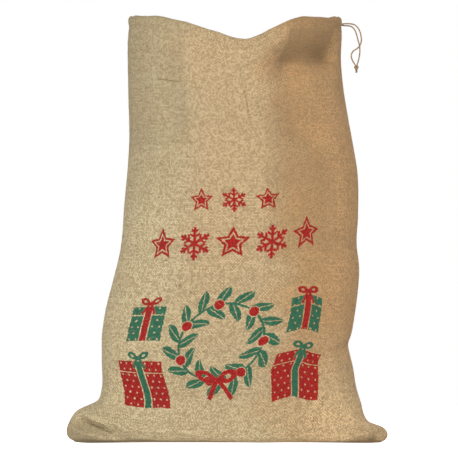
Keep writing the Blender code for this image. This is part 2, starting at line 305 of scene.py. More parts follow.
def addMesh(name, points, faces, uv, uvName, material):
    mesh = bpy.data.meshes.new(name)
    mesh.from_pydata((np.asarray(points) * mm).tolist(), [], faces)
    layer = mesh.uv_layers.new(name=uvName)
    corner = np.empty(len(mesh.loops), dtype=np.int32)
    mesh.loops.foreach_get("vertex_index", corner)
    layer.data.foreach_set("uv", np.asarray(uv, dtype=np.float32)[corner].ravel())
    mesh.shade_smooth()
    mesh.validate()
    mesh.materials.append(material)
    piece = bpy.data.objects.new(name, mesh)
    bpy.context.collection.objects.link(piece)
    return piece


def outward(points, faces):
    # a closed shell with a negative volume is inside out
    volume = 0.0
    for face in faces:
        a = points[face[0]]
        for b, c in zip(face[1:], face[2:]):
            volume += float(np.dot(a, np.cross(points[b], points[c])))
    return faces if volume > 0 else [tuple(reversed(face)) for face in faces]


def tubeFaces(rings, sides):
    # the skin between rings of points, with both ends closed
    skin = [(ring * sides + side, ring * sides + (side + 1) % sides,
             (ring + 1) * sides + (side + 1) % sides, (ring + 1) * sides + side)
            for ring in range(rings - 1) for side in range(sides)]
    last = (rings - 1) * sides
    return [*skin, tuple(range(sides))[::-1], tuple(range(last, last + sides))]


def travelFrames(route):
    # two directions square to the route at each point, carried along without twist
    tangents = unit(np.gradient(route, axis=0))
    side = unit(np.cross(tangents[0], (0.0, 0.3, 1.0)))
    sides = []
    for tangent in tangents:
        side = unit(side - np.dot(side, tangent) * tangent)
        sides.append(side)
    sides = np.array(sides)
    return sides, np.cross(tangents, sides)


# nodes

class Term:
    # the output of a node: arithmetic with it builds math nodes in the same tree
    def __init__(self, socket):
        self.socket, self.tree = socket, socket.id_data

    def math(self, operation, *others):
        return mathNode(self.tree, operation, self, *others)

    def __add__(self, other):
        return self.math("ADD", other)

    def __sub__(self, other):
        return self.math("SUBTRACT", other)

    def __rsub__(self, other):
        return mathNode(self.tree, "SUBTRACT", other, self)

    def __mul__(self, other):
        return self.math("MULTIPLY", other)

    __rmul__ = __mul__

    def __truediv__(self, other):
        return self.math("DIVIDE", other)

    def __mod__(self, other):
        return self.math("FLOORED_MODULO", other)

    def __pow__(self, other):
        return self.math("POWER", other)

    def __abs__(self):
        return self.math("ABSOLUTE")

    def __round__(self):
        return self.math("ROUND")


def feed(socket, value):
    # link a node or a term to an input, or set a plain value there
    if isinstance(value, bpy.types.Node):
        value = value.outputs[0]
    elif isinstance(value, Term):
        value = value.socket
    if isinstance(value, bpy.types.NodeSocket):
        socket.id_data.links.new(value, socket)
    else:
        socket.default_value = value


def mathNode(tree, operation, *terms):
    node = addNode(tree, "ShaderNodeMath", {"operation": operation})
    for socket, term in zip(node.inputs, terms):
        feed(socket, term)
    return Term(node.outputs[0])


def addNode(tree, kind, settings=(), **values):
    # a node with its settings made, and its inputs fed by their labels
    node = tree.nodes.new(kind)
    for label, value in dict(settings).items():
        setattr(node, label, value)
    for label, value in values.items():
        feed(next(socket for socket in node.inputs
                  if socket.enabled and socket.name.replace(" ", "") == label), value)
    return node


def termsOf(sockets):
    return {socket.name: Term(socket) for socket in sockets if socket.name}


def treeOf(*terms):
    return next(term.tree for term in terms if isinstance(term, Term))


def ramp(value, low, high, lowOut=0.0, highOut=1.0):
    return Term(addNode(value.tree, "ShaderNodeMapRange", {"interpolation_type": "SMOOTHSTEP"},
                        Value=value, FromMin=low, FromMax=high, ToMin=lowOut,
                        ToMax=highOut).outputs[0])


def mixColour(share, first, second, blend="MIX"):
    node = addNode(treeOf(share, first, second), "ShaderNodeMix",
                   {"data_type": "RGBA", "blend_type": blend})
    for index, value in ((0, share), (6, first), (7, second)):
        feed(node.inputs[index], value)
    return Term(node.outputs[2])


def join(x, y, z=0.0):
    return Term(addNode(treeOf(x, y, z), "ShaderNodeCombineXYZ", X=x, Y=y, Z=z).outputs[0])


def split(vector):
    node = addNode(vector.tree, "ShaderNodeSeparateXYZ", Vector=vector)
    return [Term(socket) for socket in node.outputs]


def noiseAt(vector, scale, detail=2.0, dimensions="2D"):
    return Term(addNode(vector.tree, "ShaderNodeTexNoise", {"noise_dimensions": dimensions},
                        Vector=vector, Scale=scale, Detail=detail).outputs[0])


def chance(number, seed):
    # one random number for each whole number
    return Term(addNode(number.tree, "ShaderNodeTexWhiteNoise", {"noise_dimensions": "2D"},
                        Vector=join(number, seed)).outputs["Value"])


def newGroup(name, inputs, outputs):
    # an input without a default is a vector
    group = bpy.data.node_groups.new(name, "ShaderNodeTree")
    for label, value in inputs.items():
        kind = "NodeSocketVector" if value is None else "NodeSocketFloat"
        socket = group.interface.new_socket(label, in_out="INPUT", socket_type=kind)
        if value is not None:
            socket.default_value = value
    for label in outputs:
        group.interface.new_socket(label, in_out="OUTPUT", socket_type="NodeSocketFloat")
    given = termsOf(group.nodes.new("NodeGroupInput").outputs)
    return group, given, group.nodes.new("NodeGroupOutput").inputs


def placeGroup(group, **values):
    node = addNode(treeOf(*values.values()), "ShaderNodeGroup", {"node_tree": group}, **values)
    return termsOf(node.outputs)


def plainWeaveGroup():
    # coordinates in metres along the cloth; threads go over and under one another
    group, given, out = newGroup(
        "plainWeave", {"Cloth": None, "WarpPitch": 0.00204, "WeftPitch": 0.00225,
                       "Wobble": 0.0005, "Slubs": 0.3},
        ["Height", "WarpOnTop", "Gap", "ThreadTone", "CrossingTone", "Fibre", "DarkThread"])
    cloth = given["Cloth"]
    u, v, _ = split(cloth)
    sway = noiseAt(cloth, 38.0)
    swayAcross = noiseAt(join(v, u), 31.0)
    wobble = given["Wobble"]
    u = (sway - 0.5) * wobble + u
    v = (swayAcross - 0.5) * wobble + v
    a = u / given["WarpPitch"]
    b = v / given["WeftPitch"]
    warpNumber = a.math("FLOOR")
    weftNumber = b.math("FLOOR")
    across = a.math("FRACT") - 0.5
    along = b.math("FRACT") - 0.5
    parity = (warpNumber + weftNumber) % 2.0 * -2.0 + 1.0
    # each thread has its own width, which swells and thins along it
    warpSlub = noiseAt(join(warpNumber * 7.31, v * 55.0), 1.0)
    weftSlub = noiseAt(join(u * 55.0, weftNumber * 5.77), 1.0)
    slubs = given["Slubs"]
    warpHalf = (warpSlub - 0.42) * slubs + 0.43
    weftHalf = (weftSlub - 0.42) * slubs + 0.44
    warpRound = 1.0 - abs(across / warpHalf) ** 2.0
    weftRound = 1.0 - abs(along / weftHalf) ** 2.0
    warpRise = parity * (along * math.pi).math("COSINE")
    weftRise = parity * (across * math.pi).math("COSINE")
    warp = warpRise * 0.42 + warpRound
    weft = weftRise * -0.42 + weftRound
    height = warp.math("SMOOTH_MAX", weft, 0.12)
    onTop = ramp(warp - weft, -0.12, 0.12)
    # yarn fibres run along whichever thread is on top
    fibreAt = join(u * ramp(onTop, 0.4, 0.6, 300.0, 3200.0),
                   v * ramp(onTop, 0.4, 0.6, 3200.0, 300.0))
    fibre = noiseAt(fibreAt, 1.0)
    warpTone = warpSlub * 0.6 + chance(warpNumber, 3.7) * 0.4
    weftTone = weftSlub * 0.6 + chance(weftNumber, 8.1) * 0.4
    tone = onTop * warpTone + (1.0 - onTop) * weftTone
    # short lengths of thread that were spun from dark bark
    warpDark = noiseAt(join(warpNumber * 3.13, v * 90.0), 1.0, 0.0)
    weftDark = noiseAt(join(u * 90.0, weftNumber * 4.19), 1.0, 0.0)
    dark = onTop * ramp(warpDark, 0.86, 0.93) + (1.0 - onTop) * ramp(weftDark, 0.84, 0.92)
    results = {
        "Height": fibre * 0.16 + height,
        "WarpOnTop": onTop,
        "Gap": ramp(height, 0.55, 0.0),
        "ThreadTone": tone,
        "CrossingTone": chance(warpNumber, weftNumber),
        "Fibre": fibre,
        "DarkThread": dark,
    }
    for label, result in results.items():
        feed(out[label], result)
    return group


plainWeave = plainWeaveGroup()

burlap = {
    "straw": (0.660, 0.570, 0.362, 1),      # the greener, paler jute
    "tan": (0.665, 0.500, 0.300, 1),
    "warm": (0.645, 0.372, 0.172, 1),
    "deep": (0.250, 0.170, 0.085, 1),       # the darkest yarn tone, and painted shade in the hollows between the yarns and along the creases
    "dark": (0.130, 0.080, 0.042, 1),
    "warpPitch": 0.00204,
    "weftPitch": 0.00225,
    "wobble": 0.0024,
    "slubs": 0.20,
    "bumpDepth": 0.0011,
    "bumpStrength": 0.85,
    "roughness": (0.86, 0.97),
    "sheen": 0.03,
    "sheenRoughness": 0.45,
    "specular": 0.12,
    "red": (0.370, 0.008, 0.011, 1),
    "green": (0.022, 0.142, 0.080, 1),
    "fading": [                                # u0, u1, v0, v1, soft edge, brightness: painted shade and painted light on both panels
        (-0.05, 0.174, 0.53, 0.90, 0.010, 0.86), (0.285, 0.40, 0.36, 0.60, 0.020, 0.88),
        (0.332, 0.448, 0.652, 0.711, 0.006, 0.64), (0.335, 0.550, 0.711, 0.80, 0.006, 0.82),
        (0.290, 0.405, 0.460, 0.500, 0.010, 0.92), (0.448, 0.550, 0.60, 0.711, 0.010, 0.94),
        (-0.05, 0.550, -0.20, 0.145, 0.030, 1.20), (0.375, 0.550, 0.02, 0.60, 0.020, 1.12),
        (-0.05, 0.150, 0.12, 0.45, 0.040, 1.20), (-0.05, 0.080, -0.20, 0.085, 0.015, 0.72),
        (0.430, 0.550, -0.20, 0.085, 0.015, 0.80),
    ],
}


# the print: rows of snowflakes and stars over a leaf wreath between stacks of gifts
printed = {
    "middle": 0.2360,                          # along the weft, metres of cloth
    "upperRow": (0.4490, 0.0460, 1, 0.0185),   # height, pitch, motifs each side, radius
    "lowerRow": (0.3870, 0.0530, 2, 0.0245),
    "wreath": (0.2430, 0.0570),                # height, radius
    "leafRings": [                             # leaves, middle off the stem, slant, turn
        (15, 0.0115, 0.75, 0.0), (11, -0.0105, -0.75, 0.2),
    ],
    "leafLength": 0.0270, "leafWidth": 0.0085, "leafVein": 0.0006, "stem": 0.0016,
    "berries": 7, "berryRadius": 0.0068, "berryGap": 0.0014,
    "bigGift": (0.1180, 0.1820, 0.0380, 0.0350),     # from the middle, height, half sizes
    "smallGift": (0.1130, 0.2720, 0.0270, 0.0250),
    "edgeWobble": 0.0026,
}

threadMarksAndCreaseShade = {
    # u0, u1, v0, v1 in metres of cloth: short lengths of dark thread
    "dark": [
        (0.2645, 0.2665, 0.588, 0.640), (0.2730, 0.2790, 0.5910, 0.5930),
        (0.1180, 0.1600, 0.6325, 0.6345), (0.1150, 0.1180, 0.4350, 0.4390),
        (0.3860, 0.3880, 0.1000, 0.1230), (0.3985, 0.4005, 0.1350, 0.1500),
    ],
    # painted shade along two packing creases
    "crease": [(0.010, 0.490, 0.3800, 0.3830), (0.2655, 0.2685, 0.575, 0.665)],
    "darkShare": 0.80, "darkSoft": 0.0004,
    "creaseShare": 0.20, "creaseSoft": 0.0022,
}


def inkBelow(distance, soft=0.00035):
    # full ink inside a shape, none outside it
    return ramp(distance, soft, -soft)


def largest(*terms):
    best = terms[0]
    for term in terms[1:]:
        best = best.math("MAXIMUM", term)
    return best


def smallest(*terms):
    best = terms[0]
    for term in terms[1:]:
        best = best.math("MINIMUM", term)
    return best


def without(ink, cut):
    return ink * (1.0 - cut)


def shifted(x, y, dx, dy, turn=0.0):
    # the same point seen from a place at dx, dy that is turned by an angle
    x, y = x - dx, y - dy
    if turn == 0.0:
        return x, y
    c, s = math.cos(turn), math.sin(turn)
    return x * c + y * s, y * c + x * -s


def radius(x, y, squash=1.0):
    return (x * x + (abs(y) * squash) ** 2.0).math("SQRT")


def sector(x, y, count):
    # fold the plane into one slice of a star: distance out, and angle off the slice's middle
    slice_ = 2 * math.pi / count
    angle = y.math("ARCTAN2", x)
    off = (angle + slice_ / 2) % slice_ - slice_ / 2
    return radius(x, y), off


def flakeInk(along, aside):
    parts = [smallest(inkBelow(aside - 0.082, 0.02), inkBelow(along - 0.98, 0.02))]
    for start, length in ((0.40, 0.30), (0.68, 0.20)):
        # a side branch leaves the arm at sixty degrees
        gap = abs(aside * -0.5 + (along - start) * 0.866)
        parts.append(smallest(inkBelow(gap - 0.068, 0.02), inkBelow(aside - length, 0.02)))
    return largest(*parts)


def starInk(along, aside):
    edge = aside * 0.90 + (along - 1.0) * 0.43
    line = abs(edge + 0.17)
    return without(inkBelow(edge, 0.02), inkBelow(line - 0.035, 0.02))


def motifGroup(name, arms, ink):
    # drawn in one slice of a star, along and aside of the slice's middle
    group, given, out = newGroup(name, {"Place": None, "Radius": 0.02}, ["Ink"])
    x, y, _ = split(given["Place"])
    reach, off = sector(y / given["Radius"], x / given["Radius"], arms)
    feed(out["Ink"], ink(reach * off.math("COSINE"), abs(reach * off.math("SINE"))))
    return group


def bow(x, y, size):
    # two loops, a knot and two tails
    side = abs(x)
    loopX, loopY = shifted(side, y, 0.62 * size, 0.22 * size, 0.42)
    ring = radius(loopX, loopY, 1.75)
    loops = without(inkBelow(ring - 0.58 * size), inkBelow(ring - 0.20 * size))
    knot = inkBelow(radius(x, y) - 0.20 * size)
    tailX, tailY = shifted(side, y, 0.38 * size, -0.55 * size, -1.05)
    tails = inkBelow(largest(abs(tailX) - 0.58 * size, abs(tailY) - 0.13 * size))
    return largest(loops, knot, tails)


def giftGroup():
    group, given, out = newGroup("gift", {"Place": None, "HalfWidth": 0.03, "HalfHeight": 0.03},
                                 ["Wrap", "Ribbon"])
    x, y, _ = split(given["Place"])
    halfWidth, halfHeight = given["HalfWidth"], given["HalfHeight"]
    band = abs(x)
    box = largest(band - halfWidth, abs(y) - halfHeight)
    lid = abs(y - halfHeight * 0.50)
    ribbonAt = largest(box, band - 0.0050)
    wrap = inkBelow(box)
    for cut in (lid - 0.0007, band - 0.0068):
        wrap = without(wrap, inkBelow(cut))
    # unprinted dots in a staggered grid
    row = (y / 0.0090).math("FLOOR")
    dotX = (row * 0.0055 + x) % 0.0110 - 0.0055
    dotY = y % 0.0090 - 0.0045
    wrap = without(wrap, inkBelow(radius(dotX, dotY) - 0.0014))
    bowAt = y - (halfHeight + 0.0050)
    ribbon = largest(inkBelow(ribbonAt), bow(x, bowAt, 0.0150))
    feed(out["Wrap"], without(wrap, ribbon))
    feed(out["Ribbon"], ribbon)
    return group


def wreathGroup():
    group, given, out = newGroup("leafWreath", {"Place": None}, ["Leaves", "Berries"])
    x, y, _ = split(given["Place"])
    ringRadius = printed["wreath"][1]
    leaves = []
    for count, middle, slant, phase in printed["leafRings"]:
        turnedX, turnedY = shifted(x, y, 0.0, 0.0, phase)
        reach, off = sector(turnedX, turnedY, count)
        beyond = reach - (ringRadius + middle)
        aside = beyond * slant + reach * off
        share = beyond / (printed["leafLength"] / 2)
        half = (1.0 - share * share) * printed["leafWidth"]
        width = abs(aside)
        leaves.append(without(inkBelow(width - half), inkBelow(width - printed["leafVein"])))
    stem = abs(radius(x, y) - ringRadius)
    leaves.append(inkBelow(stem - printed["stem"]))
    reach, off = sector(x, y, printed["berries"])
    berry = radius(reach * off.math("COSINE") - ringRadius, reach * off.math("SINE"))
    berries = inkBelow(berry - printed["berryRadius"])
    bowHere = bow(x, y + (ringRadius - 0.002), 0.026)
    clear = inkBelow(berry - (printed["berryRadius"] + printed["berryGap"]))
    feed(out["Leaves"], without(without(largest(*leaves), clear), bowHere))
    feed(out["Berries"], largest(without(berries, bowHere), bowHere))
    return group


snowflake, star = motifGroup("snowflake", 6, flakeInk), motifGroup("star", 5, starInk)
gift, wreath = giftGroup(), wreathGroup()


def motifRow(x, y, row, first):
    # snowflakes and stars by turns along one row, as many on each side of the middle
    height, pitch, each, size = row
    number = round(x / pitch)
    place = join(number * -pitch + x, y - height)
    flake, pointed = (placeGroup(motif, Place=place, Radius=size)["Ink"]
                      for motif in (snowflake, star))
    odd = (number + first) % 2.0
    ink = odd * pointed + without(flake, odd)
    return ink * abs(number).math("LESS_THAN", each + 0.5)


def printInks(cloth):
    u, v, _ = split(cloth)
    wobble = printed["edgeWobble"]
    x = (noiseAt(cloth, 300.0) - 0.5) * wobble + u - printed["middle"]
    y = (noiseAt(join(v, u), 290.0) - 0.5) * wobble + v
    rows = largest(motifRow(x, y, printed["upperRow"], 0.0),
                   motifRow(x, y, printed["lowerRow"], 1.0))
    garland = placeGroup(wreath, Place=join(x, y - printed["wreath"][0]))
    beside = abs(x)
    gifts = []
    for name in ("bigGift", "smallGift"):
        away, height, halfWidth, halfHeight = printed[name]
        gifts.append(placeGroup(gift, Place=join(beside - away, y - height),
                                HalfWidth=halfWidth, HalfHeight=halfHeight))
    big, small = gifts
    red = largest(rows, garland["Berries"], big["Wrap"], small["Ribbon"])
    green = largest(garland["Leaves"], big["Ribbon"], small["Wrap"])
    return red, without(green, red)


def insideOf(u, v, zone, soft):
    # one within a stretch of cloth, fading to none past its edges
    startU, endU, startV, endV = zone
    acrossIt = ramp(u, startU - soft, startU + soft) * ramp(u, endU + soft, endU - soft)
    upIt = ramp(v, startV - soft, startV + soft) * ramp(v, endV + soft, endV - soft)
    return acrossIt * upIt


def newMaterial(name):
    material = bpy.data.materials.new(name)
    material.use_nodes = True
    return material, material.node_tree


def uvPlace(tree, layer):
    return Term(addNode(tree, "ShaderNodeUVMap", {"uv_map": layer}).outputs[0])


def coat(material, colour, roughness, height, surface):
    # colour, roughness, bump and sheen on the shader
    tree = material.node_tree
    bump = addNode(tree, "ShaderNodeBump", Height=height, Strength=surface["bumpStrength"],
                   Distance=surface["bumpDepth"])
    shader = tree.nodes["Principled BSDF"]
    for label, value in (("Base Color", colour), ("Roughness", roughness), ("Normal", bump),
                         ("Specular IOR Level", surface["specular"]),
                         ("Sheen Weight", surface["sheen"]),
                         ("Sheen Roughness", surface["sheenRoughness"])):
        feed(shader.inputs[label], value)
    return material


def darkThreadsAndCreaseShade(colour, weave, u, v):
    # single dark threads, and painted shade along the packing creases
    for zone in threadMarksAndCreaseShade["dark"]:
        runsUp = zone[3] - zone[2] > zone[1] - zone[0]
        seen = weave["WarpOnTop"] if runsUp else 1.0 - weave["WarpOnTop"]
        mark = insideOf(u, v, zone, threadMarksAndCreaseShade["darkSoft"]) * (seen * threadMarksAndCreaseShade["darkShare"])
        colour = mixColour(mark, colour, burlap["dark"])
    for zone in threadMarksAndCreaseShade["crease"]:
        mark = insideOf(u, v, zone, threadMarksAndCreaseShade["creaseSoft"]) * threadMarksAndCreaseShade["creaseShare"]
        colour = mixColour(mark, colour, burlap["deep"])
    return colour


def printedColour(colour, weave, place):
    outer = Term(addNode(place.tree, "ShaderNodeAttribute",
                         {"attribute_name": "outerFace"}).outputs["Fac"])
    worn = ramp(noiseAt(place, 620.0), 0.24, 0.36, 0.70, 0.985)
    hold = outer * worn * (weave["Gap"] * -0.30 + 1.0)
    # the dye keeps its hue where the yarns dip, and only darkens
    dip = weave["WarpOnTop"] * -0.28 + (weave["CrossingTone"] * 0.30 + 0.80)
    for ink, dye in zip(printInks(place), ("red", "green")):
        dyed = mixColour(1.0, burlap[dye], join(dip, dip, dip), "MULTIPLY")
        colour = mixColour(ink * hold, colour, dyed)
    return colour


def burlapMaterial(name, withPrint):
    material, tree = newMaterial(name)
    place = uvPlace(tree, "cloth")
    weave = placeGroup(plainWeave, Cloth=place, WarpPitch=burlap["warpPitch"],
                       WeftPitch=burlap["weftPitch"], Wobble=burlap["wobble"],
                       Slubs=burlap["slubs"])
    u, v, _ = split(place)
    patches = noiseAt(place, 11.0, 3.0) - 0.5
    toTan = ramp(patches * 0.12 + u, 0.10, 0.24) * ramp(v, 0.10, 0.45, 0.22, 1.0)
    toWarm = ramp(patches * 0.14 + u, 0.26, 0.36) * ramp(v, 0.14, 0.30, 0.45, 1.0)
    colour = mixColour(toTan, burlap["straw"], burlap["tan"])
    colour = mixColour(toWarm, colour, burlap["warm"])
    # painted shade and painted light: patches made darker where the cloth turns from the lamps, as under the right of
    # the rim and in the ears' folds, and lighter low on the panel; the top-left strip is partly the cloth's own darker
    # tone
    paintedShading = 1.0
    for *zone, soft, brightness in burlap["fading"]:
        paintedShading = paintedShading * (insideOf(u, v, zone, soft) * (brightness - 1.0) + 1.0)
    colour = mixColour(1.0, colour, join(paintedShading, paintedShading, paintedShading), "MULTIPLY")
    # darker yarn tones, and painted shade: the Gap share darkens the hollows between the yarns
    for share, shade in ((ramp(weave["ThreadTone"], 0.75, 0.20, 0.0, 0.26), "deep"),
                         (weave["WarpOnTop"] * 0.44, "deep"),
                         (ramp(weave["CrossingTone"], 0.8, 0.1, 0.0, 0.62), "deep"),
                         (weave["Gap"] * 0.85, "deep"),
                         (ramp(weave["Fibre"], 0.62, 0.30, 0.0, 0.35), "deep"),
                         (weave["DarkThread"] * 0.75, "dark")):
        colour = mixColour(share, colour, burlap[shade])
    colour = darkThreadsAndCreaseShade(colour, weave, u, v)
    if withPrint:
        colour = printedColour(colour, weave, place)
    low, high = burlap["roughness"]
    return coat(material, colour, ramp(weave["Fibre"], 0.3, 0.7, high, low),
                weave["Height"], burlap)


twine = {
    "light": (0.390, 0.270, 0.140, 1),
    "deep": (0.150, 0.085, 0.038, 1),
    "bumpDepth": 0.0004, "bumpStrength": 0.7,
    "sheen": 0.15, "sheenRoughness": 0.5, "specular": 0.15,
}


def twineMaterial():
    # the yarn's own UV: metres along it and turns round it
    material, tree = newMaterial("juteTwine")
    place = uvPlace(tree, "yarn")
    along, round_, _ = split(place)
    fibre = noiseAt(join(along * 220.0, along * -900.0 + round_ * 9.0), 1.0, 3.0)
    patch = noiseAt(place, 90.0)
    colour = mixColour(ramp(fibre, 0.35, 0.65), twine["deep"], twine["light"])
    colour = mixColour(ramp(patch, 0.5, 0.75, 0.0, 0.5), colour, twine["deep"])
    return coat(material, colour, ramp(fibre, 0.3, 0.7, 0.95, 0.8), fibre, twine)


loose = {
    "thread": ((0.520, 0.400, 0.240, 1), (0.270, 0.180, 0.095, 1)),    # sewing yarn
    "fibre": ((0.640, 0.530, 0.340, 1), (0.420, 0.310, 0.180, 1)),     # stray jute
    "grain": 700.0,
    "bumpDepth": 0.0003, "bumpStrength": 0.6,
    "sheen": 0.0, "sheenRoughness": 0.5, "specular": 0.15,
}


def looseMaterial(name, tints):
    # short hairs and stitches, with a grain set by their place on the sack
    material, tree = newMaterial(name)
    place = Term(tree.nodes.new("ShaderNodeTexCoord").outputs["Object"])
    grain = noiseAt(place, loose["grain"], 3.0, "3D")
    patch = noiseAt(place, loose["grain"] / 12, 2.0, "3D")
    colour = mixColour(ramp(grain, 0.35, 0.68), tints[1], tints[0])
    colour = mixColour(ramp(patch, 0.45, 0.7, 0.0, 0.35), colour, tints[1])
    return coat(material, colour, ramp(grain, 0.3, 0.7, 0.96, 0.82), grain, loose)


plainBurlap = burlapMaterial("burlapCloth", False)
sewingYarn = looseMaterial("sewingYarn", loose["thread"])
strayJute = looseMaterial("strayJute", loose["fibre"])
printedBurlap = burlapMaterial("printedBurlap", True)
juteTwine = twineMaterial()
print("stage: materials")


# the drawcord's free ends and knot

drawcord = {
    "diameter": 2.2,
    "frontEnd": [                              # x, y, z from the casing to the knot
        (165.4, -6.2, 613.4), (166.3, -4.2, 614.0), (168.5, -2.6, 615.0), (172, -2.1, 615.7),
        (176, -2.1, 615.9), (181, -2.0, 615.8), (188, -1.8, 614.2), (194.6, -1.8, 607),
        (197.4, -1.8, 598), (198, -2.2, 591.4), (195.8, -2.8, 583.6), (192.4, -2.8, 579.6),
        (185.7, -2.0, 575), (183, -1.4, 568.9), (185.1, -1.2, 561.1), (189.2, -1.3, 554.6),
    ],
    "backEnd": [
        (165.4, 6.2, 613.6), (166.3, 4.1, 613.9), (168.5, 2.0, 614.0), (172, 1.2, 613.5),
        (176, 1.0, 613.1), (179, 1.0, 613.0), (183.5, 1.0, 611.8), (188.4, 1.0, 606.8),
        (191.2, 1.0, 599.3), (193.5, 0.9, 590.4), (195.2, 0.6, 584.6), (195.8, 0.6, 578),
        (195.2, 0.8, 568.9), (193.5, 1.1, 561.1), (191.6, 1.3, 554.6),
    ],
    "sides": 14, "casingSides": 8,
    "ringStep": 0.45,
    "twistPitch": 7.0,                         # one full turn of the two plies
    "plyDepth": 0.30,
    "knotCentre": (190.6, 0.0, 550.8),
    "knotRadius": 2.75,
    "knotYarn": 2.5,
    "tailFibres": 26, "tailLength": (3.2, 5.6), "tailYarn": (0.28, 0.5),
    "casingHeight": 4.3, "casingDepth": 3.0,   # above the stitches, in from the cloth's face
}


def twistedTube(route, diameter, sides, pitch, plyDepth, roundEnds=True):
    # two plies laid round each other, as one closed skin
    route = np.asarray(route)
    steps = np.concatenate(([0.0], np.cumsum(np.linalg.norm(np.diff(route, axis=0), axis=1))))
    first, second = travelFrames(route)
    turn = np.linspace(0.0, 2 * math.pi, sides, endpoint=False)
    points, uv = [], []
    for index, along in enumerate(steps):
        lobes = np.abs(np.cos(turn - 2 * math.pi * along / pitch)) ** 0.8
        uneven = 1.0 + 0.07 * noise.noise(Vector((along * 0.45, 3.1, 0.0)))
        end = min(1.0, 0.72 + min(along, steps[-1] - along) * 0.9) if roundEnds else 1.0
        radius = 0.5 * diameter * end * uneven * (1.0 - plyDepth + plyDepth * lobes)
        ring = (route[index] + radius[:, None] * (np.cos(turn)[:, None] * first[index]
                                                  + np.sin(turn)[:, None] * second[index]))
        points.append(ring)
        uv.append(np.stack([np.full(sides, along * mm),
                            np.abs(np.linspace(-1, 1, sides, endpoint=False))], axis=-1))
    return np.concatenate(points), tubeFaces(len(route), sides), np.concatenate(uv)


def mergeParts(parts):
    points, faces, uv, start = [], [], [], 0
    for partPoints, partFaces, partUv in parts:
        points.append(partPoints)
        uv.append(partUv)
        faces += [tuple(index + start for index in face) for face in
                  outward(partPoints, partFaces)]
        start += len(partPoints)
    return np.concatenate(points), faces, np.concatenate(uv)


def cordPiece(name, route):
    length = lineLength(smoothLine(route, np.linspace(0, 1, 400)))
    fine = smoothLine(route, np.linspace(0, 1, round(length / drawcord["ringStep"])))
    tube = twistedTube(fine, drawcord["diameter"], drawcord["sides"], drawcord["twistPitch"],
                       drawcord["plyDepth"])
    return addMesh(name, *mergeParts([tube]), "yarn", juteTwine), length * mm


def knotPiece():
    # an overhand knot drawn tight, with the frayed tail below it
    t = np.linspace(0, 2 * math.pi, 90, endpoint=True)
    size = drawcord["knotRadius"] / 3.0
    loop = np.stack([(np.sin(t) + 2 * np.sin(2 * t)) * size * 0.9,
                     -np.sin(3 * t) * size * 1.0,
                     (np.cos(t) - 2 * np.cos(2 * t)) * size * 1.15], axis=-1)
    centre = np.array(drawcord["knotCentre"])
    parts = [twistedTube(centre + loop, drawcord["knotYarn"], 10, 4.0, 0.28, roundEnds=False)]
    for end in ("frontEnd", "backEnd"):
        last = np.array(drawcord[end][-1])
        core = np.linspace(last + (0, 0, 0.5), centre + (0.2, 0.1, -3.4), 12)
        parts.append(twistedTube(core, drawcord["diameter"], 10, 4.0, 0.28))
    random = np.random.default_rng(11)
    for _ in range(drawcord["tailFibres"]):
        lean = random.normal(0, 0.55, 2)
        start = centre + (random.normal(0, 0.8), random.normal(0, 0.8), -2.6)
        reach = random.uniform(*drawcord["tailLength"])
        s = np.linspace(0, 1, 7)[:, None]
        fibre = start + s * (lean[0], lean[1], -reach) + s**2 * (lean[1], lean[0], 0.3)
        parts.append(twistedTube(fibre, random.uniform(*drawcord["tailYarn"]), 5, 9.0, 0.1,
                                 roundEnds=False))
    return addMesh("drawcordKnot", *mergeParts(parts), "yarn", juteTwine)


frontEnd, frontLength = cordPiece("drawcordFrontEnd", drawcord["frontEnd"])
backEnd, backLength = cordPiece("drawcordBackEnd", drawcord["backEnd"])
knot = knotPiece()
print("stage: drawcord ends", round(frontLength, 4), round(backLength, 4))


# the two panels

